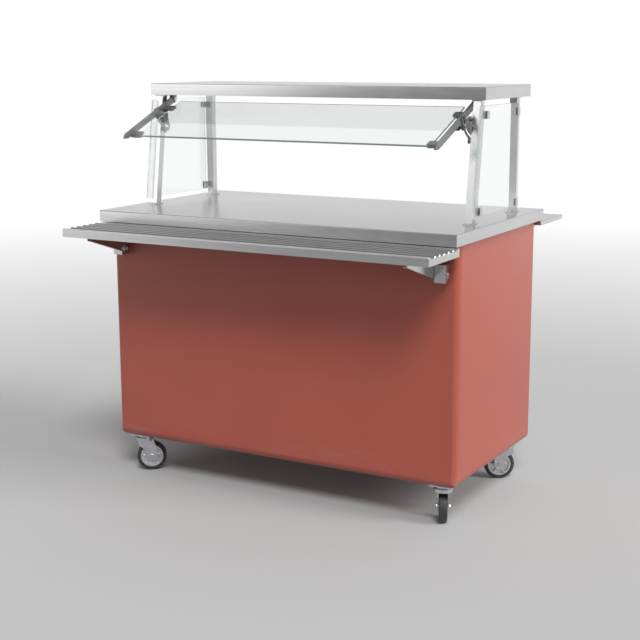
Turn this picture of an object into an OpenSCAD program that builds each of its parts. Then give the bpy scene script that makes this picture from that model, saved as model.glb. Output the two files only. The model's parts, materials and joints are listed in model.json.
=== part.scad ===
// Mobile serving counter with a solid top, an overhead shelf with a tilting
// glass guard, a fold-down tray slide and a fold-down work shelf.
// Millimetres. +X to the customer's right, +Y from the customer side to the
// operator side, +Z up. Origin on the floor, under the middle of the counter.

/* [Counter top] */
// Length of the counter top
top_l = 1284; // [1200:1:1400]
// Depth of the counter top, front to back
top_d = 716; // [690:1:760]
// Working height of the counter top
top_z = 914; // [900:1:930]
// Depth of the turned-down edge of the counter top
top_edge = 36; // [30:1:40]
// Thickness of the counter sheet
sheet = 2; // [1.5:0.5:3]

/* [Body] */
// How far each end of the body stands in from the counter top
body_end_inset = 13; // [10:1:18]
// How far the body's front stands back under the counter top
body_front_inset = 52; // [45:1:60]
// How far the body's back stands in under the counter top
body_rear_inset = 36; // [32:1:44]
// Height of the body's underside above the floor
body_z = 130; // [130:1:140]
// Wall thickness of the moulded body
wall = 6; // [5:0.5:8]
// Radius of the body's upright corners
corner_r = 22; // [18:1:30]
// Radius of the body's bottom edges
bottom_r = 34; // [28:1:36]
// Height of the inside shelf above the floor
inner_shelf_z = 505; // [420:5:600]

/* [Tray slide and work shelf] */
// How far both fold-down shelves stand out from the counter top
shelf_reach = 190; // [170:1:220]
// Height of the top of both fold-down shelves
fold_z = 874.6; // [870:0.2:876]
// Edge thickness of the tray slide
tray_edge = 26; // [24:1:30]
// Edge thickness of the work shelf
work_edge = 14; // [12:1:18]
// Number of ribs along the tray slide
tray_ribs = 5; // [4:1:6]

/* [Overhead shelf] */
// Length of the overhead shelf
over_l = 1226; // [1190:1:1260]
// Front edge of the overhead shelf, measured back from the middle of the counter
over_y0 = -93.5; // [-110:0.5:-85]
// Depth of the overhead shelf
over_d = 377; // [350:1:400]
// Height of the overhead shelf's underside
over_z = 1283; // [1260:1:1320]
// Thickness of the overhead shelf
over_edge = 38; // [34:1:44]

/* [Guard] */
// Side of the square post tube
post = 25; // [22:1:28]
// Distance from the middle of the counter to the outer face of a post
post_x = 595; // [585:1:600]
// Front face of a front post at the counter
post_front_y = -137.5; // [-145:0.5:-130]
// How far a front post leans back over its height
post_lean = 53; // [45:1:60]
// Front face of a rear post
post_rear_y = 211.5; // [205:0.5:220]
// Slope of the tilting glass below level, as stored
guard_tilt = 22.5; // [18:0.5:27]
// Thickness of every glass pane
glass = 6; // [5:0.5:8]

/* [Casters] */
// Diameter of a wheel
wheel_d = 102; // [98:1:103]
// Width of a tyre
tyre_w = 28; // [26:1:32]
// Offset of the axle from the swivel
trail = 22; // [20:1:30]
// Stored swivel angle of the front left caster
swivel_front_left = 38; // [0:1:359]
// Stored swivel angle of the front right caster
swivel_front_right = 114; // [0:1:359]
// Stored swivel angle of the rear left caster
swivel_rear_left = 35; // [0:1:359]
// Stored swivel angle of the rear right caster
swivel_rear_right = 210; // [0:1:359]

/* [Hidden] */
$fn = 64;
eps = 0.01;

steel = "silver";
moulding = "indianred";
clear = "lightcyan";
dark = "dimgray";
black = "black";

// counter top and body outlines
top_xh = top_l / 2;
top_yh = top_d / 2;
top_under = top_z - sheet;
body_xh = top_xh - body_end_inset;
body_y0 = -top_yh + body_front_inset;
body_y1 = top_yh - body_rear_inset;
stile_w = 66;
bay_xh = body_xh - stile_w;
channel_h = 25;
floor_z = body_z + wall;
deck_z = floor_z + channel_h;
header_h = 40;
header_z = top_under - channel_h - header_h;

// fold-down shelf hinges
hinge_off = 22;
hinge_z = 790;
pin_r = 5;
pin_clear = 0.06;
bracket_x0 = 565.5;
bracket_w = 35;
bracket_reach = 36;
arm_x1 = bracket_x0 - 0.5;
arm_t = 3;
heel_r = 16;
shelf_tuck = 22;
rib_h = 6;

// posts and glass
over_xh = over_l / 2;
over_y1 = over_y0 + over_d;
post_x0 = post_x - post;
foot_t = 3;
foot_reach = 11;
post_tube_t = 1.6;
lean_angle = atan(post_lean / (over_z - top_z));
lean_slope = post_lean / (over_z - top_z);
end_glass_x = post_x + 2.5;
end_glass_z0 = 936;
end_glass_z1 = 1266;
end_glass_lead = 16;
end_glass_y1 = post_rear_y - 5.5;

// tilting guard, laid level with its pivot on the X axis
pivot_y = -43.5;
pivot_z = over_z - 15;
arm_in = 552;
arm_out = 558;
guard_len = 305;
guard_glass_xh = 525.5;
guard_glass_y0 = -272;
guard_glass_y1 = -6;
guard_glass_z = -11;
knob_r = 100;
knob_angle = 14.4;
quad_x = 558.6;
quad_t = 3;
clamp_r = 4;

// casters
caster_x = 565;
caster_y = 258;
body_mid_y = (body_y0 + body_y1) / 2;
plate_t = 4;
axle_z = wheel_d / 2;
axle_r = 6;
kingpin_r = 6;
cup_r = 25;
crown_z = body_z - 17;
crown_t = 5;
leg_in = tyre_w / 2 + 2;
leg_t = 2.5;
nut_h = 3.5;
rim_r = 38.5;
pedal_x = trail + 44;
pedal_z = axle_z + 38;
pedal_pin_r = 2.5;
caster_spots = [
    [-caster_x, body_mid_y - caster_y, swivel_front_left],
    [caster_x, body_mid_y - caster_y, swivel_front_right],
    [-caster_x, body_mid_y + caster_y, swivel_rear_left],
    [caster_x, body_mid_y + caster_y, swivel_rear_right]
];

// ---- helpers ----

// box given by its low and high values on each axis
module span(x0, x1, y0, y1, z0, z1) {
    translate([x0, y0, z0]) cube([x1 - x0, y1 - y0, z1 - z0]);
}

// an outline drawn in Y and Z, run from x0 to x1
module along_x(x0, x1) {
    translate([x0, 0, 0]) rotate([90, 0, 90]) linear_extrude(x1 - x0) children();
}

// an outline drawn in X and Z, run from y0 to y1
module along_y(y0, y1) {
    translate([0, y1, 0]) rotate([90, 0, 0]) linear_extrude(y1 - y0) children();
}

module both_ends() {
    children();
    mirror([1, 0, 0]) children();
}

module rounded_rect(x0, x1, y0, y1, r) {
    translate([x0 + r, y0]) square([x1 - x0 - 2 * r, y1 - y0]);
    translate([x0, y0 + r]) square([x1 - x0, y1 - y0 - 2 * r]);
    for (x = [x0 + r, x1 - r], y = [y0 + r, y1 - r])
        translate([x, y]) circle(r);
}

// cylinder along X from x0 to x1 at a given Y and Z
module rod_x(x0, x1, y, z, r) {
    translate([x0, y, z]) rotate([0, 90, 0]) cylinder(h = x1 - x0, r = r);
}

module rod_z(x, y, z0, z1, r) {
    translate([x, y, z0]) cylinder(h = z1 - z0, r = r);
}

// tub with upright corners of radius rc and bottom edges of radius rb
module tub(xh, y0, y1, z0, z1, rc, rb) {
    intersection() {
        translate([0, 0, z0]) linear_extrude(z1 - z0) rounded_rect(-xh, xh, y0, y1, rc);
        along_x(-xh, xh) rounded_rect(y0, y1, z0, z1 + 2 * rb, rb);
        along_y(y0, y1) rounded_rect(-xh, xh, z0, z1 + 2 * rb, rb);
    }
}

// hat-section channel along X with its crown up, centred on y
module hat_x(x0, x1, y, z, w, h, t) {
    flange = 14;
    span(x0, x1, y - w / 2, y + w / 2, z + h - t, z + h);
    for (s = [-1, 1]) {
        span(x0, x1, y + s * (w - t) / 2 - t / 2, y + s * (w - t) / 2 + t / 2, z, z + h);
        span(x0, x1, y + s * (w / 2 + flange / 2 - t / 2) - flange / 2 - t / 2,
             y + s * (w / 2 + flange / 2 - t / 2) + flange / 2 + t / 2, z, z + t);
    }
}

// ---- body ----

module body_shell() {
    color(moulding) difference() {
        tub(body_xh, body_y0, body_y1, body_z, top_under, corner_r, bottom_r);
        tub(body_xh - wall, body_y0 + wall, body_y1 - wall, floor_z, top_z,
            corner_r - wall, bottom_r - wall);
        span(-bay_xh, bay_xh, body_y1 - 40, body_y1 + 10, deck_z, top_z);
        caster_bolt_holes(body_z - 1, floor_z + 1);
        bracket_bolt_holes();
        header_bolt_spots() cylinder(h = 40, r = 3.3, center = true);
    }
}

// channel over each pair of casters, open side up, its legs under the deck and
// its ends shaped to the body's inside
module base_channels() {
    t = 3;
    end_gap = wall + 8;
    side_gap = wall + 0.2;
    x0 = caster_x - 38;
    x1 = caster_x + 38;
    color(steel) difference() {
        both_ends() difference() {
            intersection() {
                span(x0, x1, body_y0 + end_gap, body_y1 - end_gap, floor_z, deck_z);
                tub(body_xh - side_gap, body_y0 + side_gap, body_y1 - side_gap, floor_z, top_z,
                    corner_r - wall, bottom_r - wall);
            }
            span(x0 + t, x1 - t, body_y0, body_y1, floor_z + t, deck_z + 1);
        }
        caster_bolt_holes(floor_z - 1, floor_z + t + 1);
    }
}

// stainless floor of the storage bay
module base_deck() {
    gap = wall + 1;
    color(steel) translate([0, 0, deck_z]) linear_extrude(sheet)
        rounded_rect(-body_xh + gap, body_xh - gap, body_y0 + gap, body_y1 - gap, corner_r - gap);
}

module inner_shelf() {
    lip = 25;
    xh = body_xh - wall - 2;
    y0 = body_y0 + wall + 20;
    y1 = body_y1 - 60;
    color(steel) {
        span(-xh, xh, y0, y1, inner_shelf_z - sheet, inner_shelf_z);
        for (y = [y0, y1 - sheet])
            span(-xh + 32, xh - 32, y, y + sheet, inner_shelf_z - lip, inner_shelf_z - eps);
    }
}

// angle rails that carry the inside shelf
module inner_shelf_rails() {
    leg = 25;
    x1 = body_xh - wall;
    y0 = body_y0 + wall + 30;
    y1 = body_y1 - 70;
    color(steel) both_ends() {
        span(x1 - leg, x1, y0, y1, inner_shelf_z - 2 * sheet, inner_shelf_z - sheet);
        span(x1 - sheet, x1, y0, y1, inner_shelf_z - sheet - leg, inner_shelf_z - sheet - eps);
    }
}

// box beam over the storage bay's opening, open at the top
module rear_header() {
    xh = body_xh - corner_r - 2;
    y1 = body_y1 - wall;
    color(steel) difference() {
        span(-xh, xh, y1 - 30, y1, header_z, header_z + header_h);
        span(-xh - 1, xh + 1, y1 - 28, y1 - sheet, header_z + sheet, header_z + header_h + 1);
        header_bolt_spots() cylinder(h = 40, r = 3.3, center = true);
    }
}

// header bolt axes, pointing at the operator
module header_bolt_spots() {
    both_ends() for (z = [header_z + 12, header_z + 28])
        translate([bay_xh + 18, body_y1, z]) rotate([-90, 0, 0]) children();
}

// hexagon bolt along +Z with its head below z = 0 and its nut above the grip
module hex_bolt(grip) {
    translate([0, 0, -4]) cylinder(h = 4, r = 5.5, $fn = 6);
    translate([0, 0, -eps]) cylinder(h = grip + 7, r = 3);
    translate([0, 0, grip]) cylinder(h = 5, r = 5.5, $fn = 6);
}

// bolts of the shelf brackets and of the header
module body_bolts() {
    color(steel) {
        both_ends() for (z = bracket_bolt_zs()) {
            bracket_bolt_at(z) hex_bolt(wall + 3);
            to_rear() bracket_bolt_at(z) hex_bolt(wall + 3);
        }
        header_bolt_spots() mirror([0, 0, 1]) hex_bolt(wall + sheet);
    }
}

// start of a bracket bolt on the bracket's inner face, pointing into the body
module bracket_bolt_at(z) {
    translate([bracket_x0 + bracket_w / 2, body_y0 - 3, z]) rotate([-90, 0, 0]) children();
}

module countertop() {
    lip = 14;
    end_lip = body_end_inset - 2;
    r = 3;
    color(steel) difference() {
        intersection() {
            translate([0, 0, top_z - top_edge]) linear_extrude(top_edge)
                rounded_rect(-top_xh, top_xh, -top_yh, top_yh, r);
            along_x(-top_xh, top_xh) rounded_rect(-top_yh, top_yh, top_z - top_edge - 2 * r, top_z, r);
            along_y(-top_yh, top_yh) rounded_rect(-top_xh, top_xh, top_z - top_edge - 2 * r, top_z, r);
        }
        span(-top_xh + sheet, top_xh - sheet, -top_yh + sheet, top_yh - sheet,
             top_z - top_edge + sheet, top_under);
        span(-top_xh + end_lip, top_xh - end_lip, -top_yh + lip, top_yh - lip,
             top_z - top_edge - 1, top_under);
    }
}

// three channels across the length, under the counter sheet
module top_channels() {
    xh = body_xh - wall - 2;
    color(steel) for (y = [body_y0 + 70, body_mid_y, body_y1 - 76])
        translate([0, 0, 2 * top_under - channel_h]) mirror([0, 0, 1])
            hat_x(-xh, xh, y, top_under - channel_h, 70, channel_h, sheet);
}

// ---- fold-down shelves ----

// shelf arm at the right-hand end of the front: web, flanges and hinge boss;
// under is the shelf's underside and tip_y is the arm's free end
module fold_arm(under, tip_y) {
    y = body_y0 - hinge_off;
    back_y = y + heel_r;
    x0 = arm_x1 - arm_t;
    tip_h = 11;
    heel_z = hinge_z - heel_r + 2;
    run_y = y - 4 - tip_y;
    slope = atan((heel_z - under + tip_h) / run_y);
    difference() {
        union() {
            along_x(x0, arm_x1) {
                polygon([[tip_y, under], [tip_y, under - tip_h], [y - 4, heel_z],
                         [y, hinge_z], [back_y, hinge_z], [back_y, under]]);
                translate([y, hinge_z]) circle(heel_r);
            }
            span(arm_x1 - 32, arm_x1, tip_y, back_y, under - arm_t, under);
            rod_x(x0 - 5, arm_x1 - 1, y, hinge_z, 12);
            translate([0, tip_y, under - tip_h]) rotate([slope, 0, 0])
                span(arm_x1 - 14, arm_x1, 2, run_y - 30, -1, 1);
        }
        rod_x(x0 - 10, arm_x1 + 10, y, hinge_z, pin_r + pin_clear);
    }
}

// boxed wall bracket at the front right, open at the bottom
module wall_bracket() {
    t = 3;
    x1 = bracket_x0 + bracket_w;
    y0 = body_y0 - bracket_reach;
    z0 = 768;
    z1 = 822;
    difference() {
        span(bracket_x0, x1, y0, body_y0, z0, z1);
        span(bracket_x0 + t, x1 - t, y0 + t, body_y0 - t, z0 - 1, z1 - t);
        rod_x(bracket_x0 - 5, x1 + 5, body_y0 - hinge_off, hinge_z, pin_r + 0.02);
        for (z = bracket_bolt_zs()) bracket_bolt_at(z) cylinder(h = 16, r = 3.3, center = true);
    }
}

function bracket_bolt_zs() = [776, 808];

// turn a right-hand front piece into its rear counterpart, about the body's middle
module to_rear() {
    translate([0, body_y0 + body_y1, 0]) mirror([0, 1, 0]) children();
}

module bracket_bolt_holes() {
    both_ends() for (z = bracket_bolt_zs()) {
        bracket_bolt_at(z) cylinder(h = 2 * wall + 10, r = 3.3, center = true);
        to_rear() bracket_bolt_at(z) cylinder(h = 2 * wall + 10, r = 3.3, center = true);
    }
}

module tray_slide() {
    y0 = -top_yh - shelf_reach;
    y1 = -top_yh + shelf_tuck;
    z0 = fold_z - tray_edge;
    hem = 14;
    rib_w = 15;
    crest = 4;
    pitch = (y1 - y0 - 2 * hem) / (tray_ribs + 1);
    deck = fold_z - rib_h;
    color(steel) {
        difference() {
            span(-top_xh, top_xh, y0, y1, z0, fold_z);
            span(-top_xh + sheet, top_xh - sheet, y0 + sheet, y1 - sheet, z0 - 1, deck - sheet);
            span(-top_xh - 1, top_xh + 1, y0 + hem, y1 - hem, deck, fold_z + 1);
        }
        for (i = [1 : tray_ribs])
            along_x(-top_xh, top_xh) translate([y0 + hem + i * pitch, 0])
                polygon([[-rib_w / 2, deck - eps], [rib_w / 2, deck - eps],
                         [crest / 2, fold_z], [-crest / 2, fold_z]]);
    }
}

// cross channels inside the tray slide, over the arms and at the middle
module tray_stiffeners() {
    y0 = -top_yh - shelf_reach + sheet;
    y1 = -top_yh + shelf_tuck - sheet;
    z0 = fold_z - tray_edge;
    z1 = fold_z - rib_h - sheet;
    w = 40;
    color(steel) for (x = [-arm_x1 + 16, 0, arm_x1 - 16]) difference() {
        span(x - w / 2, x + w / 2, y0, y1, z0, z1);
        span(x - w / 2 + sheet, x + w / 2 - sheet, y0 - 1, y1 + 1, z0 + sheet, z1 + 1);
    }
}

module tray_arm() {
    color(steel) fold_arm(fold_z - tray_edge, -top_yh - shelf_reach + 28);
}

module tray_arm_left() {
    mirror([1, 0, 0]) tray_arm();
}

module tray_arm_right() {
    tray_arm();
}

// plain work shelf on the operator side, its edges turned down and in
module work_shelf() {
    lip = 14;
    y0 = top_yh - shelf_tuck;
    y1 = top_yh + shelf_reach;
    z0 = fold_z - work_edge;
    color(steel) difference() {
        span(-top_xh, top_xh, y0, y1, z0, fold_z);
        span(-top_xh + sheet, top_xh - sheet, y0 + sheet, y1 - sheet, z0 + sheet, fold_z - sheet);
        span(-top_xh + lip, top_xh - lip, y0 + lip, y1 - lip, z0 - 1, fold_z - sheet);
    }
}

module work_shelf_arm() {
    tip_y = body_y0 + body_y1 - (top_yh + shelf_reach - 28);
    color(steel) to_rear() fold_arm(fold_z - work_edge, tip_y);
}

module work_shelf_arm_left() {
    mirror([1, 0, 0]) work_shelf_arm();
}

module work_shelf_arm_right() {
    work_shelf_arm();
}

module fold_brackets() {
    color(steel) both_ends() {
        wall_bracket();
        to_rear() wall_bracket();
    }
}

// hinge pin of one shelf arm, with its head outboard and its nut inboard
module fold_pin() {
    y = body_y0 - hinge_off;
    x_in = arm_x1 - arm_t - 6;
    x_out = bracket_x0 + bracket_w;
    rod_x(x_in - 7, x_out + 1, y, hinge_z, pin_r);
    rod_x(x_out, x_out + 4, y, hinge_z, 9);
    translate([x_in - 5, y, hinge_z]) rotate([0, 90, 0]) cylinder(h = 5, r = 8.6, $fn = 6);
}

module fold_pins() {
    color(steel) both_ends() {
        fold_pin();
        to_rear() fold_pin();
    }
}

// ---- posts and overhead shelf ----

// square tube between its foot and cap plates, leaning back by an angle
module post_tube(y, angle) {
    intersection() {
        span(post_x0 - 10, post_x + 10, y - 100, y + 150, top_z + foot_t, over_z - foot_t);
        translate([post_x0, y, top_z]) rotate([-angle, 0, 0]) difference() {
            translate([0, 0, -20]) cube([post, post, over_z - top_z + 60]);
            translate([post_tube_t, post_tube_t, -30])
                cube([post - 2 * post_tube_t, post - 2 * post_tube_t, over_z - top_z + 80]);
        }
    }
}

// foot plate with two screw holes and a cap plate, welded to the tube
module post_assembly(y, angle, top_y) {
    x_mid = post_x - post / 2;
    color(steel) {
        post_tube(y, angle);
        difference() {
            span(post_x0 - 2, post_x + 2, y - foot_reach, y + post + foot_reach, top_z, top_z + foot_t);
            for (s = foot_screw_ys(y)) rod_z(x_mid, s, top_z - 1, top_z + foot_t + 1, 2.6);
        }
        span(post_x0 - 3, post_x + 5, top_y - 5, top_y + post + 5, over_z - foot_t, over_z);
    }
}

function foot_screw_ys(y) = [y - foot_reach / 2, y + post + foot_reach / 2];

module post_front() {
    post_assembly(post_front_y, lean_angle, post_front_y + post_lean);
}

module post_rear() {
    post_assembly(post_rear_y, 0, post_rear_y);
}

module post_front_left() {
    mirror([1, 0, 0]) post_front();
}

module post_front_right() {
    post_front();
}

module post_rear_left() {
    mirror([1, 0, 0]) post_rear();
}

module post_rear_right() {
    post_rear();
}

// screws through the post feet, heads up
module post_screws() {
    color(steel) both_ends() for (y = [post_front_y, post_rear_y], s = foot_screw_ys(y)) {
        rod_z(post_x - post / 2, s, top_z + foot_t, top_z + foot_t + 2.4, 4.6);
        rod_z(post_x - post / 2, s, top_z + eps, top_z + foot_t + 1, 2.5);
    }
}

module overhead_shelf() {
    r = 2.5;
    color(steel) difference() {
        intersection() {
            translate([0, 0, over_z]) linear_extrude(over_edge)
                rounded_rect(-over_xh, over_xh, over_y0, over_y1, r);
            along_x(-over_xh, over_xh) rounded_rect(over_y0, over_y1, over_z - 2 * r, over_z + over_edge, r);
            along_y(over_y0, over_y1) rounded_rect(-over_xh, over_xh, over_z - 2 * r, over_z + over_edge, r);
        }
        span(-over_xh + sheet, over_xh - sheet, over_y0 + sheet, over_y1 - sheet,
             over_z - 1, over_z + over_edge - sheet);
    }
}

// flat underside of the overhead shelf, set inside its edges
module overhead_soffit() {
    gap = sheet + 0.2;
    color(steel)
        span(-over_xh + gap, over_xh - gap, over_y0 + gap, over_y1 - gap, over_z, over_z + sheet);
}

// channels inside the overhead shelf, over the front and the rear posts
module overhead_channels() {
    xh = over_xh - 10;
    color(steel) for (y = [over_y0 + 40, over_y1 - 60])
        hat_x(-xh, xh, y, over_z + sheet, 40, over_edge - 2 * sheet, sheet);
}

// ---- end glass ----

function post_y(z) = post_front_y + (z - top_z) * lean_slope;

module end_glass() {
    color(clear, 0.4) along_x(end_glass_x, end_glass_x + glass)
        polygon([[post_y(end_glass_z0) - end_glass_lead, end_glass_z0], [end_glass_y1, end_glass_z0],
                 [end_glass_y1, end_glass_z1], [post_y(end_glass_z1) - end_glass_lead, end_glass_z1]]);
}

module end_glass_left() {
    mirror([1, 0, 0]) end_glass();
}

module end_glass_right() {
    end_glass();
}

// slotted clip that grips the pane and reaches back to a post
module glass_clip(y, z, h) {
    w = 20;
    x0 = post_x - 6;
    difference() {
        span(x0, end_glass_x + glass + 3.5, y, y + w, z, z + h);
        span(end_glass_x, end_glass_x + glass, y - 1, min(y + w + 1, end_glass_y1),
             end_glass_z0, end_glass_z1);
    }
}

module end_glass_clips() {
    h = 24;
    low = end_glass_z0 + 3;
    high = end_glass_z1 - 40;
    color(dark) both_ends() {
        glass_clip(post_y(low + h) + post + 0.5, low, h);
        glass_clip(post_y(high + h) + post + 0.5, high, h);
        glass_clip(post_rear_y - 20.2, low, h);
        glass_clip(post_rear_y - 20.2, high, h);
    }
}

// ---- tilting guard ----

// places what is drawn with its pivot on the X axis and the glass level
module guard_place() {
    translate([0, pivot_y, pivot_z]) rotate([guard_tilt, 0, 0]) children();
}

module guard_glass() {
    color(clear, 0.4) guard_place()
        span(-guard_glass_xh, guard_glass_xh, guard_glass_y0, guard_glass_y1,
             guard_glass_z, guard_glass_z + glass);
}

function lug_y() = -knob_r * cos(knob_angle);
function lug_z() = -knob_r * sin(knob_angle);

module guard_arm() {
    color(steel) guard_place() difference() {
        union() {
            along_x(arm_in, arm_out)
                polygon([[0, 11], [0, -11], [lug_y() + 26, -10.5], [lug_y() + 13, lug_z()],
                         [lug_y() - 13, lug_z()], [lug_y() - 26, -10.2], [-guard_len + 20, -10],
                         [-guard_len, -3], [-guard_len, 3], [-guard_len + 14, 10]]);
            rod_x(arm_in, arm_out, 0, 0, 13);
            rod_x(arm_in, arm_out, lug_y(), lug_z(), 14.5);
        }
        rod_x(arm_in - 1, arm_out + 1, 0, 0, clamp_r + pin_clear);
        rod_x(arm_in - 1, arm_out + 1, lug_y(), lug_z(), clamp_r + 0.02);
        for (y = clamp_ys()) rod_x(arm_in - 1, arm_out + 1, y, -7, 2.6);
    }
}

function clamp_ys() = [-260, -62];

module guard_arm_left() {
    mirror([1, 0, 0]) guard_arm();
}

module guard_arm_right() {
    guard_arm();
}

// clamps between the glass ends and the arms, each with its screw through the arm
module guard_clamps() {
    x0 = guard_glass_xh - 12;
    jaw = 3.5;
    half = 12;
    color(dark) both_ends() guard_place() for (y = clamp_ys()) {
        difference() {
            span(x0, arm_in, y - half, y + half, guard_glass_z - jaw, guard_glass_z + glass + jaw);
            span(x0 - 1, guard_glass_xh, y - half - 1, y + half + 1,
                 guard_glass_z, guard_glass_z + glass);
        }
        rod_x(arm_in - eps, arm_out + 0.1, y, -7, 2.5);
        rod_x(arm_out, arm_out + 0.4, y, -7, 4.5);
    }
}

// ear under the overhead shelf that carries the pivot
module guard_pivot_brackets() {
    t = 4;
    y0 = pivot_y - 13;
    y1 = pivot_y + 24;
    color(dark) both_ends() difference() {
        union() {
            along_x(quad_x, quad_x + t)
                polygon([[y0, over_z], [y0, pivot_z - 6], [y0 + 8, pivot_z - 12], [y1 - 12, pivot_z - 12],
                         [y1, pivot_z - 2], [y1, over_z]]);
            span(quad_x, quad_x + 24, pivot_y + 6, y1, over_z - 3, over_z);
        }
        rod_x(quad_x - 1, quad_x + t + 1, pivot_y, pivot_z, clamp_r + 0.02);
    }
}

module guard_pivot_pins() {
    color(steel) both_ends() {
        rod_x(arm_in - 1, quad_x + 6, pivot_y, pivot_z, clamp_r);
        rod_x(arm_in - 5, arm_in - 0.5, pivot_y, pivot_z, 7);
        rod_x(quad_x + 4, quad_x + 7, pivot_y, pivot_z, 6);
    }
}

// plate with an arc slot, on spacers at the inner face of each front post
module guard_quadrants() {
    half = 12;
    a0 = 16;
    a1 = 78;
    spacer_up = [-85, 1225];
    spacer_low = [-89, 1161];
    color(steel) both_ends() difference() {
        union() {
            along_x(quad_x, quad_x + quad_t) {
                translate([pivot_y, pivot_z]) ring_sector(knob_r - half, knob_r + half, a0, a1);
                polygon([[spacer_up[0] - 38, spacer_up[1] - 4], [spacer_up[0] - 8, spacer_up[1] + 9],
                         [spacer_up[0] + 8, spacer_up[1] + 9], [spacer_up[0] + 18, spacer_up[1] - 43],
                         [spacer_up[0] - 12, spacer_up[1] - 29]]);
                translate(spacer_up) circle(9);
                translate(spacer_low) circle(9);
            }
            for (s = [spacer_up, spacer_low]) rod_x(quad_x + 0.5, post_x0, s[0], s[1], 5);
        }
        along_x(quad_x - 1, quad_x + quad_t + 1) translate([pivot_y, pivot_z]) {
            ring_sector(knob_r - clamp_r - 0.3, knob_r + clamp_r + 0.3, a0 + 4, a1 - 4);
            for (a = [a0 + 4, a1 - 4]) rotate(180 + a) translate([knob_r, 0]) circle(clamp_r + 0.3);
        }
    }
}

// part of a ring between two angles below the level of its centre, on the customer side
module ring_sector(r0, r1, a0, a1) {
    reach = 2 * r1;
    intersection() {
        difference() {
            circle(r1);
            circle(r0);
        }
        polygon([[0, 0], for (a = [a0 : (a1 - a0) / 3 : a1 + eps]) [-reach * cos(a), -reach * sin(a)]]);
    }
}

// bolt, washer and head that clamp each arm to its quadrant
module guard_clamp_bolts() {
    color(steel) both_ends() guard_place() {
        rod_x(arm_in - 16, quad_x + quad_t + 1, lug_y(), lug_z(), clamp_r);
        rod_x(quad_x + quad_t + 0.4, quad_x + quad_t + 4.4, lug_y(), lug_z(), 7);
        difference() {
            rod_x(arm_in - 1.5, arm_in - 0.1, lug_y(), lug_z(), 9);
            rod_x(arm_in - 2, arm_in, lug_y(), lug_z(), clamp_r + 0.01);
        }
    }
}

// five-lobed clamp knob
module guard_knob() {
    color(black) guard_place() translate([0, lug_y(), lug_z()]) difference() {
        union() {
            rod_x(arm_in - 22, arm_in - 8, 0, 0, 12);
            rod_x(arm_in - 8.5, arm_in - 1.8, 0, 0, 8);
            for (a = [0 : 72 : 359]) rotate([a, 0, 0]) rod_x(arm_in - 22, arm_in - 9, 0, 11, 4.5);
        }
        rod_x(arm_in - 17, arm_in, 0, 0, clamp_r + pin_clear);
    }
}

module guard_knob_left() {
    mirror([1, 0, 0]) guard_knob();
}

module guard_knob_right() {
    guard_knob();
}

// ---- casters ----

// puts what is drawn around a swivel on the Z axis at caster number i
module at_caster(i) {
    translate([caster_spots[i][0], caster_spots[i][1], 0]) rotate(caster_spots[i][2]) children();
}

// caster bolt pattern, in line with the counter
module caster_pattern() {
    for (i = [0 : 3], x = [-27, 27], y = [-19, 19])
        translate([caster_spots[i][0] + x, caster_spots[i][1] + y, 0]) children();
}

module caster_bolt_holes(z0, z1) {
    caster_pattern() translate([0, 0, z0]) cylinder(h = z1 - z0, r = 4.2);
}

// top plate, race cup and kingpin of every caster
module caster_plates() {
    cup_t = 4;
    color(steel) for (i = [0 : 3]) {
        x = caster_spots[i][0];
        y = caster_spots[i][1];
        difference() {
            translate([x, y, body_z - plate_t]) linear_extrude(plate_t) rounded_rect(-39, 39, -30, 30, 6);
            caster_bolt_holes(body_z - plate_t - 1, body_z + 1);
        }
        difference() {
            rod_z(x, y, body_z - plate_t - cup_t, body_z - plate_t + eps, cup_r);
            rod_z(x, y, body_z - plate_t - cup_t - 1, body_z - plate_t - 1, 12);
        }
        rod_z(x, y, crown_z - crown_t - 3, body_z - plate_t + eps, kingpin_r);
        rod_z(x, y, crown_z - crown_t - 5, crown_z - crown_t - 1, 11);
    }
}

// rings of balls between the cups and the fork crowns
module caster_ball_races() {
    ball_r = 4.4;
    gap = body_z - plate_t - 4 - crown_z;
    color(steel) for (i = [0 : 3], a = [0 : 30 : 359])
        translate([caster_spots[i][0], caster_spots[i][1], crown_z + gap / 2]) rotate(a)
            translate([19, 0, 0]) sphere(ball_r, $fn = 24);
}

module caster_bolts() {
    color(steel) caster_pattern() {
        translate([0, 0, body_z - plate_t - 5]) cylinder(h = 5, r = 7.2, $fn = 6);
        translate([0, 0, body_z - plate_t - eps]) cylinder(h = plate_t + wall + 11, r = 4);
        translate([0, 0, floor_z + 3]) cylinder(h = 6, r = 7.2, $fn = 6);
    }
}

// crown, dust skirt and two broad legs; the axle lies off the swivel by the trail,
// and a braked caster's legs reach on to the pedal's pin
module caster_fork(i) {
    color(steel) at_caster(i) difference() {
        union() {
            rod_z(0, 0, crown_z - crown_t, crown_z, 30);
            span(-22, 26, -leg_in - leg_t, leg_in + leg_t, crown_z - crown_t, crown_z - eps);
            difference() {
                rod_z(0, 0, crown_z - eps, crown_z + 6, 30);
                rod_z(0, 0, crown_z - 1, crown_z + 7, 27.5);
            }
            for (y = [-leg_in - leg_t, leg_in]) along_y(y, y + leg_t) {
                polygon([[-24, crown_z], [27, crown_z], [trail + 18, axle_z + 26], [trail + 17, axle_z],
                         [trail - 17, axle_z], [trail - 24, axle_z + 26], [-24, crown_z - 22]]);
                translate([trail, axle_z]) circle(17);
                if (i == 1 || i == 2)
                    polygon([[5, crown_z - crown_t], [27, crown_z], [pedal_x + 6, pedal_z + 5],
                             [pedal_x + 6, pedal_z - 6], [pedal_x - 2, pedal_z - 9],
                             [trail + 18, axle_z + 10], [trail, axle_z + 26]]);
            }
        }
        rod_z(0, 0, crown_z - crown_t - 1, crown_z + 1, kingpin_r + pin_clear);
        translate([trail, 50, axle_z]) rotate([90, 0, 0]) cylinder(h = 100, r = 4.02);
        if (i == 1 || i == 2) translate([pedal_x, 50, pedal_z]) rotate([90, 0, 0])
            cylinder(h = 100, r = pedal_pin_r + pin_clear);
    }
}

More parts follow.
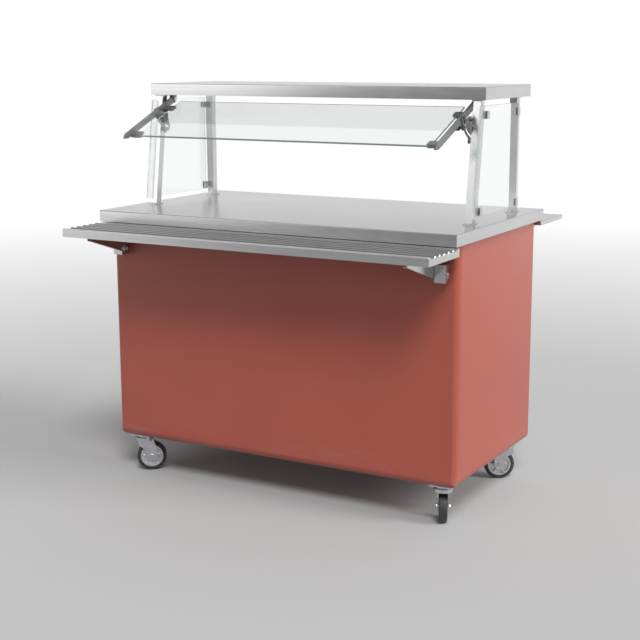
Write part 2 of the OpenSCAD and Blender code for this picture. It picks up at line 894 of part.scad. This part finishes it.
// hub with a web, six ribs and a rim
module wheel_hub(i) {
    color(steel) at_caster(i) translate([trail, 0, axle_z]) rotate([90, 0, 0]) difference() {
        union() {
            translate([0, 0, -tyre_w / 2 - 1]) cylinder(h = tyre_w + 2, r = 12);
            translate([0, 0, -3]) cylinder(h = 6, r = rim_r - 1);
            difference() {
                translate([0, 0, -tyre_w / 2 + 1]) cylinder(h = tyre_w - 2, r = rim_r);
                translate([0, 0, -tyre_w]) cylinder(h = 2 * tyre_w, r = rim_r - 5);
            }
            for (a = [0 : 60 : 359]) rotate(a) translate([8, -2, -tyre_w / 2 + 3])
                cube([rim_r - 12, 4, tyre_w - 6]);
        }
        translate([0, 0, -tyre_w]) cylinder(h = 2 * tyre_w, r = axle_r + pin_clear);
    }
}

module tyre(i) {
    r = 6;
    color(black) at_caster(i) translate([trail, 0, axle_z]) rotate([90, 0, 0]) rotate_extrude()
        intersection() {
            translate([rim_r, -tyre_w / 2]) square([wheel_d / 2 - rim_r, tyre_w]);
            rounded_rect(rim_r - 20, wheel_d / 2, -tyre_w / 2, tyre_w / 2, r);
        }
}

// shoulder axle, with its head and nut outside the legs
module caster_axle(i) {
    out = leg_in + leg_t;
    color(steel) at_caster(i) translate([trail, 0, axle_z]) rotate([90, 0, 0]) {
        translate([0, 0, -leg_in]) cylinder(h = 2 * leg_in, r = axle_r);
        translate([0, 0, -out - nut_h]) cylinder(h = 2 * (out + nut_h), r = 4);
        for (z = [-out - nut_h, out]) translate([0, 0, z]) cylinder(h = nut_h, r = 7.2, $fn = 6);
    }
}

// foot lever of a braked caster, beside the wheel: lever with its shoe, pad and pivot pin
module brake_pedal(i) {
    out = leg_in + leg_t + 1;
    color(black) at_caster(i) translate([pedal_x, 0, pedal_z]) union() {
        along_y(-15, 15) polygon([[-4, 5], [-5, 0], [-3.2, -4], [1.9, -11.5], [7, -14], [12, -13],
                                  [14, -8], [36, -17], [39, -12], [12, 5], [4, 7]]);
        along_y(-17, 17) polygon([[32, -12], [52, -21], [55, -17], [35, -7]]);
        translate([0, out, 0]) rotate([90, 0, 0]) cylinder(h = 2 * out, r = pedal_pin_r);
    }
}

body_shell();
base_channels();
base_deck();
inner_shelf();
inner_shelf_rails();
rear_header();
body_bolts();
countertop();
top_channels();
tray_slide();
tray_stiffeners();
tray_arm_left();
tray_arm_right();
work_shelf();
work_shelf_arm_left();
work_shelf_arm_right();
fold_brackets();
fold_pins();
post_front_left();
post_front_right();
post_rear_left();
post_rear_right();
post_screws();
overhead_shelf();
overhead_soffit();
overhead_channels();
end_glass_left();
end_glass_right();
end_glass_clips();
guard_glass();
guard_arm_left();
guard_arm_right();
guard_clamps();
guard_pivot_brackets();
guard_pivot_pins();
guard_quadrants();
guard_clamp_bolts();
guard_knob_left();
guard_knob_right();
caster_plates();
caster_ball_races();
caster_bolts();
caster_fork(0);  // caster_fork_front_left
caster_fork(1);  // caster_fork_front_right
caster_fork(2);  // caster_fork_rear_left
caster_fork(3);  // caster_fork_rear_right
caster_axle(0);  // caster_axle_front_left
caster_axle(1);  // caster_axle_front_right
caster_axle(2);  // caster_axle_rear_left
caster_axle(3);  // caster_axle_rear_right
wheel_hub(0);  // wheel_hub_front_left
wheel_hub(1);  // wheel_hub_front_right
wheel_hub(2);  // wheel_hub_rear_left
wheel_hub(3);  // wheel_hub_rear_right
tyre(0);  // tyre_front_left
tyre(1);  // tyre_front_right
tyre(2);  // tyre_rear_left
tyre(3);  // tyre_rear_right
brake_pedal(1);  // brake_pedal_front_right
brake_pedal(2);  // brake_pedal_rear_left
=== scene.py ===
"""Studio scene of a mobile serving counter: steel top and shelves, a moulded body and a glass guard."""

import json
import math
import bmesh
import bpy
from mathutils import Matrix, Vector


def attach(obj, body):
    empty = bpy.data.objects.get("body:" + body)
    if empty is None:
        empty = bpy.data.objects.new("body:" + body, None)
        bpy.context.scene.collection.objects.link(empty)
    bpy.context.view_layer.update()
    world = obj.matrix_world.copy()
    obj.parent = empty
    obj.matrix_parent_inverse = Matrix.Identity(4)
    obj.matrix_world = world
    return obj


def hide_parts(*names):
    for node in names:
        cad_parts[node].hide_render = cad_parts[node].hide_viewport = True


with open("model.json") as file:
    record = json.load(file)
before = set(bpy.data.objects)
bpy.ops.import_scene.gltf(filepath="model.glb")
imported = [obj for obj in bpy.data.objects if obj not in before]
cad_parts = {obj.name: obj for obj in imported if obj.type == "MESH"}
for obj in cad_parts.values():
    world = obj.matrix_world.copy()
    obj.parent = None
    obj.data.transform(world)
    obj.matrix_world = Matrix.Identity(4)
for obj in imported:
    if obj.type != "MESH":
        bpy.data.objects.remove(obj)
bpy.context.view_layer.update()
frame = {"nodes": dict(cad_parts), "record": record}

RECORD = frame["record"]
BODY_OF = {node: body for body, nodes in RECORD["behaviour"]["bodies"].items() for node in nodes}
SLOT_OF = {part["node"]: part["material_slot"] for part in RECORD["subparts"]}
MM = 0.001

# How CAD meshes are cleaned and rounded; angles in degrees
WELD = 0.001 * MM
FLAT_ANGLE = 0.6
SHARP_ANGLE = 25
SHADED_SHARP_ANGLE = 32
ROUND_SHARE = 0.22  # a round takes at most this much of the narrower face beside it
PANE_EDGE_SHARE = 0.3  # a face smaller than this much of the pane's largest is its edge
SMALL_ROUND, PANE_ROUND, SHEET_ROUND, BODY_ROUND = 0.8 * MM, 0.9 * MM, 2.2 * MM, 3 * MM

# Heights in metres between which the painted floor light, in pale patches along the body's foot, fades to
# nothing
FOOT_LOW, FOOT_HIGH = 0.13, 0.24

# Directions that the brush marks on steel run in, each a little off an axis
ALONG, UP, ACROSS = (1, 0.02, 0.03), (0.03, 0.02, 1), (0.03, 1, 0.02)


# ---- shader helpers ----

def grey(level, blue=None):
    """A linear grey, or one whose blue differs a little."""
    return (level, level, level if blue is None else blue, 1)


def linear(red, green, blue):
    """An sRGB colour of 0 to 255 as Blender's linear colour."""
    def one(v):
        v /= 255
        return v / 12.92 if v <= 0.04045 else ((v + 0.055) / 1.055) ** 2.4
    return (one(red), one(green), one(blue), 1.0)


class Wiring:
    """Short ways to wire shader nodes; place is the point, or in a world the direction, that is shaded."""

    def __init__(self, tree, place):
        self.tree = tree
        self.place = self.node("ShaderNodeTexCoord").outputs[place]

    def node(self, kind, **settings):
        made = self.tree.nodes.new(kind)
        for key, value in settings.items():
            setattr(made, key, value)
        return made

    def link(self, source, target):
        self.tree.links.new(source, target)

    def noise(self, scale, detail=3.0, roughness=0.55, stretch=(1, 1, 1), distortion=0.0):
        """Noise of that many features per metre, stretched by a factor along each axis."""
        mapping = self.node("ShaderNodeMapping")
        mapping.inputs["Scale"].default_value = [scale / s for s in stretch]
        self.link(self.place, mapping.inputs["Vector"])
        tex = self.node("ShaderNodeTexNoise")
        tex.inputs["Scale"].default_value = 1.0
        tex.inputs["Detail"].default_value = detail
        tex.inputs["Roughness"].default_value = roughness
        tex.inputs["Distortion"].default_value = distortion
        self.link(mapping.outputs["Vector"], tex.inputs["Vector"])
        return tex.outputs["Fac"]

    def spread(self, source, low, high, start=0.3, end=0.7):
        """source, taken from start..end to low..high."""
        node = self.node("ShaderNodeMapRange")
        node.inputs["From Min"].default_value = start
        node.inputs["From Max"].default_value = end
        node.inputs["To Min"].default_value = low
        node.inputs["To Max"].default_value = high
        self.link(source, node.inputs["Value"])
        return node.outputs["Result"]

    def maths(self, operation, a, b):
        node = self.node("ShaderNodeMath", operation=operation)
        for socket, value in zip(node.inputs, (a, b)):
            if isinstance(value, (int, float)):
                socket.default_value = value
            else:
                self.link(value, socket)
        return node.outputs[0]

    def vector(self, operation, a, b=None):
        node = self.node("ShaderNodeVectorMath", operation=operation)
        self.link(a, node.inputs[0])
        if b is not None:
            node.inputs[1].default_value = b
        return node

    def add(self, a, b):
        return self.maths("ADD", a, b)

    def times(self, a, b):
        return self.maths("MULTIPLY", a, b)

    def larger(self, a, b):
        return self.maths("MAXIMUM", a, b)

    def mix(self, factor, first, second):
        """A colour between first and second, each a colour or a socket."""
        node = self.node("ShaderNodeMix", data_type="RGBA")
        self.link(factor, node.inputs["Factor"])
        for socket, value in ((node.inputs["A"], first), (node.inputs["B"], second)):
            if isinstance(value, tuple):
                socket.default_value = value
            else:
                self.link(value, socket)
        return node.outputs["Result"]

    def along(self, name):
        """One coordinate of the place, by the name X, Y or Z."""
        node = self.node("ShaderNodeSeparateXYZ")
        self.link(self.place, node.inputs[0])
        return node.outputs[name]


class Surface(Wiring):
    """A material with one Principled shader."""

    def __init__(self, name, **sockets):
        self.material = bpy.data.materials.new(name)
        self.material.use_nodes = True
        super().__init__(self.material.node_tree, "Object")
        self.shader = self.tree.nodes["Principled BSDF"]
        self.output = self.tree.nodes["Material Output"]
        for key, value in sockets.items():
            self.shader.inputs[key.replace("_", " ")].default_value = value

    def to(self, socket, source):
        self.link(source, self.shader.inputs[socket])

    def bump(self, source, depth, strength, after=None):
        """Adds a height map of that depth in metres, on top of another bump's normal if one is given."""
        node = self.node("ShaderNodeBump")
        node.inputs["Strength"].default_value = strength
        node.inputs["Distance"].default_value = depth
        self.link(source, node.inputs["Height"])
        if after is not None:
            self.link(after, node.inputs["Normal"])
        self.to("Normal", node.outputs["Normal"])
        return node.outputs["Normal"]


# ---- materials ----

def grain_tangent(surface, grain):
    """Highlights on brushed metal spread across the grain: the tangent is normal x grain."""
    normal = surface.node("ShaderNodeNewGeometry").outputs["Normal"]
    surface.to("Tangent", surface.vector("CROSS_PRODUCT", normal, grain).outputs["Vector"])


def stainless(name, grain, drawn=0.6):
    """Brushed stainless sheet; drawn is how far highlights are drawn out.

    The grain is a little off an axis, so that no face is square to it.
    """
    s = Surface(name, Metallic=1.0, Anisotropic=drawn)
    long_way = [60 if abs(g) > 0.5 else 1 for g in grain]
    fine = s.noise(900, detail=2.0, roughness=0.6, stretch=long_way)
    coarse = s.noise(160, detail=3.0, roughness=0.6, stretch=long_way)
    smudge = s.noise(5, detail=3.0, roughness=0.5, distortion=0.3)
    s.to("Base Color", s.mix(s.spread(coarse, 0, 1), grey(0.58), grey(0.53, 0.535)))
    s.to("Roughness", s.add(s.spread(fine, 0.18, 0.24), s.spread(smudge, 0.0, 0.018, 0.35, 0.75)))
    s.bump(fine, 0.02 * MM, strength=0.15)
    grain_tangent(s, grain)
    return s.material


def moulded_body(name):
    """Glossy coloured gel coat with a faint orange peel, and painted light from the floor in pale patches
    along its foot.
    """
    s = Surface(name, Coat_Weight=0.12, Coat_Roughness=0.15, IOR=1.42)
    cloud = s.noise(3.5, detail=4.0, roughness=0.55)
    foot_mottle = s.noise(26, detail=5.0, roughness=0.7, stretch=(5, 5, 1))
    # Painted light: pale, rougher patches along the foot stand for light bounced up from the floor
    foot = s.spread(s.along("Z"), 1.0, 0.0, FOOT_LOW, FOOT_HIGH)
    colour = s.mix(s.spread(cloud, 0, 1, 0.25, 0.75), linear(144, 69, 56), linear(149, 72, 59))
    pale_patches = s.times(foot, s.spread(foot_mottle, 0, 0.55, 0.48, 0.72))
    s.to("Base Color", s.mix(pale_patches, colour, linear(150, 104, 92)))
    s.to("Roughness", s.add(s.spread(cloud, 0.30, 0.38), s.times(pale_patches, 0.35)))
    peel = s.noise(330, detail=2.0, roughness=0.5)
    peel_bump = s.bump(peel, 0.05 * MM, strength=0.35)
    s.bump(cloud, 1.0 * MM, strength=0.25, after=peel_bump)
    return s.material


def clear_glass(name):
    """Clear glass that lets lamp light straight through, so that it casts hardly any shadow."""
    s = Surface(name, Transmission_Weight=1.0, Roughness=0.0, IOR=1.45)
    s.shader.inputs["Base Color"].default_value = (0.925, 0.94, 0.935, 1.0)
    to_lamp = s.node("ShaderNodeLightPath").outputs["Is Shadow Ray"]
    through = s.node("ShaderNodeBsdfTransparent")
    through.inputs["Color"].default_value = (0.94, 0.97, 0.96, 1.0)
    choice = s.node("ShaderNodeMixShader")
    s.link(to_lamp, choice.inputs[0])
    s.link(s.shader.outputs[0], choice.inputs[1])
    s.link(through.outputs[0], choice.inputs[2])
    s.link(choice.outputs[0], s.output.inputs["Surface"])
    return s.material


def glass_edge(name, dark, light):
    """The ground edge of a pane, grey-green from dark to light."""
    s = Surface(name, Transmission_Weight=0.35, IOR=1.45)
    ground = s.noise(500, detail=2.0)
    s.to("Base Color", s.mix(s.spread(ground, 0, 1), dark, light))
    s.to("Roughness", s.spread(ground, 0.16, 0.30))
    return s.material


def bright_fastener(name):
    """Plated steel screws and pins."""
    s = Surface(name, Metallic=1.0)
    wear = s.noise(420, detail=3.0)
    s.to("Base Color", s.mix(s.spread(wear, 0, 1), grey(0.60, 0.61), grey(0.46, 0.47)))
    s.to("Roughness", s.spread(wear, 0.18, 0.34))
    s.bump(wear, 0.03 * MM, strength=0.4)
    return s.material


def grey_metal(name):
    """Grey satin plating on the guard's arms, clamps and hinge ears."""
    s = Surface(name, Metallic=0.9)
    grain = s.noise(700, detail=3.0)
    cloud = s.noise(40, detail=3.0)
    s.to("Base Color", s.mix(s.spread(cloud, 0, 1), linear(122, 122, 124), linear(142, 142, 144)))
    s.to("Roughness", s.spread(grain, 0.34, 0.48))
    s.bump(grain, 0.03 * MM, strength=0.5)
    return s.material


def knob_plastic(name):
    """Fine-grained black plastic, a little polished by hands."""
    s = Surface(name, IOR=1.5)
    grain = s.noise(1300, detail=2.0)
    touch = s.noise(60, detail=3.0)
    s.to("Base Color", s.mix(s.spread(touch, 0, 1), linear(30, 30, 31), linear(44, 44, 45)))
    s.to("Roughness", s.spread(touch, 0.38, 0.58))
    s.bump(grain, 0.06 * MM, strength=0.6)
    return s.material


def zinc_plate(name):
    """Zinc-plated pressings: pale, with a cloudy sheen and dull patches."""
    s = Surface(name, Metallic=1.0)
    cloud = s.noise(45, detail=4.0, roughness=0.65)
    spot = s.node("ShaderNodeTexVoronoi")
    spot.inputs["Scale"].default_value = 140.0
    s.link(s.place, spot.inputs["Vector"])
    s.to("Base Color", s.mix(s.spread(cloud, 0, 1), (0.66, 0.67, 0.69, 1), (0.50, 0.51, 0.53, 1)))
    dull = s.spread(spot.outputs["Distance"], 0, 0.06, 0, 1)
    s.to("Roughness", s.add(s.spread(cloud, 0.26, 0.40), dull))
    s.bump(cloud, 0.08 * MM, strength=0.4)
    return s.material


def cast_hub(name):
    """Satin cast aluminium with a grainy skin."""
    s = Surface(name, Metallic=0.9)
    grain = s.noise(520, detail=3.0)
    cloud = s.noise(50, detail=3.0)
    s.to("Base Color", s.mix(s.spread(cloud, 0, 1), (0.66, 0.67, 0.68, 1), (0.50, 0.51, 0.53, 1)))
    s.to("Roughness", s.spread(grain, 0.32, 0.46))
    s.bump(grain, 0.06 * MM, strength=0.5)
    return s.material


def tyre_rubber(name):
    """Black rubber, dusty where it rolls."""
    s = Surface(name, IOR=1.5, Sheen_Weight=0.15)
    grain = s.noise(900, detail=3.0)
    dust = s.noise(70, detail=5.0, roughness=0.7)
    s.to("Base Color", s.mix(s.spread(dust, 0, 1, 0.5, 0.8), linear(27, 27, 28), linear(68, 65, 61)))
    s.to("Roughness", s.spread(dust, 0.58, 0.80))
    s.bump(grain, 0.08 * MM, strength=0.6)
    return s.material


def pedal_paint(name):
    """Black paint, worn through to grey where feet rub."""
    s = Surface(name, IOR=1.5)
    wear = s.noise(160, detail=5.0, roughness=0.7)
    pale_patches = s.spread(wear, 0, 1, 0.60, 0.68)
    s.to("Base Color", s.mix(pale_patches, linear(34, 34, 35), linear(120, 120, 122)))
    s.to("Metallic", s.times(pale_patches, 0.8))
    s.to("Roughness", s.spread(wear, 0.32, 0.50))
    s.bump(wear, 0.05 * MM, strength=0.4)
    return s.material


FINISHES = {
    "moulded_body": moulded_body("gel_coat"),
    "fastener": bright_fastener("plated_steel"),
    "clear_glass": clear_glass("glass"),
    "grey_metal": grey_metal("grey_plating"),
    "knob_plastic": knob_plastic("knob_black"),
    "zinc": zinc_plate("zinc_plate"),
    "hub_metal": cast_hub("cast_hub"),
    "tyre": tyre_rubber("tyre_rubber"),
    "pedal_metal": pedal_paint("pedal_black"),
}
STEEL_ALONG = stainless("steel_along", ALONG)
STEEL_UP = stainless("steel_up", UP, 0.1)
STEEL_ACROSS = stainless("steel_across", ACROSS)
DEEP_EDGE = glass_edge("deep_edge", linear(140, 160, 155), linear(165, 182, 177))
PALE_EDGE = glass_edge("pale_edge", linear(205, 214, 211), linear(225, 231, 229))


def finish_of(node):
    """The material of a node, with the grain of its steel."""
    if SLOT_OF[node] != "stainless":
        return FINISHES[SLOT_OF[node]]
    if node.startswith(("post", "fold_brackets", "guard_quadrants")):
        return STEEL_UP
    return STEEL_ACROSS if "arm" in node else STEEL_ALONG


# ---- pieces ----

def clean_copy(node):
    """The node's mesh, welded, with its flat faces joined up again, in a bmesh."""
    bm = bmesh.new()
    bm.from_mesh(frame["nodes"][node].data)
    bmesh.ops.remove_doubles(bm, verts=bm.verts, dist=WELD)
    bmesh.ops.dissolve_limit(bm, angle_limit=math.radians(FLAT_ANGLE), verts=bm.verts, edges=bm.edges)
    bm.normal_update()
    return bm


def face_width(face):
    """About how wide a face is across its narrow way."""
    return 2 * face.calc_area() / max(face.calc_perimeter(), 1e-9)


def weigh_edges(bm, radius):
    """Shades the mesh smooth and gives each sharp edge a round.

    The round is as large as radius, or less beside a narrow face.
    """
    weight = bm.edges.layers.float.new("bevel_weight_edge")
    for edge in bm.edges:
        edge.smooth = True
        if len(edge.link_faces) == 2 and edge.calc_face_angle(0) > math.radians(SHARP_ANGLE):
            narrow = min(face_width(f) for f in edge.link_faces)
            edge[weight] = min(1.0, ROUND_SHARE * narrow / radius)
    for face in bm.faces:
        face.smooth = True


def add_object(name, mesh, node, material):
    """An object for that mesh, which rides on the node's body and stands for the node."""
    piece = bpy.data.objects.new(name, mesh)
    bpy.context.scene.collection.objects.link(piece)
    mesh.materials.clear()
    mesh.materials.append(material)
    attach(piece, BODY_OF[node])
    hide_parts(node)
    return piece


def round_edges(piece, radius, segments):
    bevel = piece.modifiers.new("edges", "BEVEL")
    bevel.limit_method = "WEIGHT"
    bevel.width = radius
    bevel.segments = segments
    bevel.harden_normals = True
    bevel.use_clamp_overlap = True


def finished(node, radius=SMALL_ROUND, segments=2):
    """A node as it is made: its solid with rounded edges and its finish."""
    bm = clean_copy(node)
    weigh_edges(bm, radius)
    mesh = bpy.data.meshes.new(node + "_mesh")
    bm.to_mesh(mesh)
    bm.free()
    mesh.set_sharp_from_angle(angle=math.radians(SHADED_SHARP_ANGLE))
    piece = add_object(node + "_piece", mesh, node, finish_of(node))
    round_edges(piece, radius, segments)
    return piece


def pane(node):
    """A glass pane with its edges in a colour of their own."""
    piece = finished(node, PANE_ROUND)
    mesh = piece.data
    mesh.materials.append(DEEP_EDGE if node == "guard_glass" else PALE_EDGE)
    widest = max(p.area for p in mesh.polygons)
    for face in mesh.polygons:
        if face.area < PANE_EDGE_SHARE * widest:
            face.material_index = 1


SHEET = ("countertop", "overhead_shelf", "tray_slide", "work_shelf")
for node in sorted(SLOT_OF):
    if SLOT_OF[node] == "clear_glass":
        pane(node)
    elif node in SHEET:
        finished(node, SHEET_ROUND, 4)
    elif node == "body_shell":
        finished(node, BODY_ROUND, 4)
    else:
        finished(node)


# ---- floor, light and camera ----

FLOOR_HALF_SIZE = 80
# Floor greys: the near grey, then far off a paler painted light grey and a darker painted shade grey
FLOOR_NEAR, FLOOR_PAINTED_LIGHT, FLOOR_PAINTED_SHADE = grey(0.34), grey(0.60), grey(0.15)
FLOOR_FADE = (2, 7)  # metres from the middle over which the near grey gives way
BACK = (0, 1, 0)
BACK_LEFT = (-0.83, 0.56, 0.0)
WHITE = grey(1)


def floor():
    """A plain grey floor, with painted light far off at the back and the left, where it is paler, and
    painted shade far off elsewhere, where it is darker.
    """
    bm = bmesh.new()
    bmesh.ops.create_grid(bm, x_segments=4, y_segments=4, size=FLOOR_HALF_SIZE)
    mesh = bpy.data.meshes.new("floor_mesh")
    bm.to_mesh(mesh)
    bm.free()
    made = bpy.data.objects.new("floor", mesh)
    bpy.context.scene.collection.objects.link(made)
    s = Surface("floor_paint", Roughness=0.9, IOR=1.1)
    distance = s.vector("LENGTH", s.place).outputs["Value"]
    heading = s.vector("NORMALIZE", s.place).outputs["Vector"]
    back_left = s.vector("DOT_PRODUCT", heading, BACK_LEFT).outputs["Value"]
    back = s.vector("DOT_PRODUCT", heading, BACK).outputs["Value"]
    # Painted light on the far floor towards the back and the back left, and painted shade everywhere else
    # far off
    painted_light_side = s.larger(s.spread(back_left, 0, 1, -0.05, 0.12), s.spread(back, 0, 1, -0.2, 0.3))
    far = s.mix(painted_light_side, FLOOR_PAINTED_SHADE, FLOOR_PAINTED_LIGHT)
    s.to("Base Color", s.mix(s.spread(distance, 0, 1, *FLOOR_FADE), FLOOR_NEAR, far))
    mesh.materials.append(s.material)


def studio():
    """The light from all around, and a plain backdrop that only the camera sees directly.

    The light is brightest on a panel low at the front left, then near the horizon behind, then at the
    right. It is grey above, dark at the zenith and in the rest of the front. The backdrop goes from
    grey in front of the counter to white behind it.
    """
    world = bpy.data.worlds.new("studio")
    bpy.context.scene.world = world
    world.use_nodes = True
    back = world.node_tree.nodes["Background"]
    w = Wiring(world.node_tree, "Generated")
    east, north, up = w.along("X"), w.along("Y"), w.along("Z")
    behind = w.times(w.spread(north, 0, 0.93, -0.15, 0.25), w.spread(up, 1.0, 0.71, 0.06, 0.16))
    above = w.times(w.spread(up, 0, 0.35, 0.12, 0.28), w.spread(up, 1, 0.1, 0.64, 0.80))
    right = w.spread(east, 0, 0.60, 0.45, 0.80)
    panel_edge = w.maths("SUBTRACT", east, w.spread(up, 0, 0.32, 0.05, 0.25))
    panel = w.times(w.spread(panel_edge, 1.9, 0, -0.56, -0.48), w.spread(up, 1, 0, 0.38, 0.55))
    panel = w.times(panel, w.spread(north, 1, 0, -0.62, -0.45))
    everywhere = 0.13
    lit = w.add(w.larger(w.larger(behind, above), w.larger(right, panel)), everywhere)
    backdrop = w.spread(north, 0.25, 1.06, -0.75, 0.10)
    direct = w.node("ShaderNodeLightPath").outputs["Is Camera Ray"]
    indirect = w.maths("SUBTRACT", 1, direct)
    w.link(w.add(w.times(backdrop, direct), w.times(lit, indirect)), back.inputs["Strength"])
    back.inputs["Color"].default_value = WHITE


def sun(name, toward, angle, power):
    """A distant soft lamp, seen from the object in that direction."""
    data = bpy.data.lights.new(name, "SUN")
    data.angle = math.radians(angle)
    data.energy = power
    made = bpy.data.objects.new(name, data)
    bpy.context.scene.collection.objects.link(made)
    made.rotation_euler = Vector(toward).to_track_quat("Z", "Y").to_euler()


def camera(place, yaw, pitch, roll, lens):
    """A camera that looks along +Y, turned left by yaw, down by pitch and round by roll, in degrees."""
    yaw, pitch, roll = (math.radians(a) for a in (yaw, pitch, roll))
    ahead = Vector((-math.sin(yaw) * math.cos(pitch), math.cos(yaw) * math.cos(pitch), -math.sin(pitch)))
    right = Vector((math.cos(yaw), math.sin(yaw), 0))
    up = right.cross(ahead)
    turned_right = right * math.cos(roll) + up * math.sin(roll)
    turned_up = up * math.cos(roll) - right * math.sin(roll)
    data = bpy.data.cameras.new("camera")
    data.lens = lens
    data.sensor_width = 36
    data.clip_end = 300
    made = bpy.data.objects.new("camera", data)
    bpy.context.scene.collection.objects.link(made)
    made.matrix_world = Matrix.Translation(place) @ Matrix(
        (turned_right, turned_up, -ahead)).transposed().to_4x4()
    bpy.context.scene.camera = made


floor()
studio()
sun("right_key", toward=(0.88, 0.05, 0.47), angle=25, power=2.8)
sun("front_key", toward=(0.40, -0.54, 0.74), angle=20, power=2.9)
camera(place=(2.118, -3.775, 1.4306), yaw=29.375, pitch=11.618, roll=-0.205, lens=73.88)
bpy.context.scene.view_settings.view_transform = "Standard"
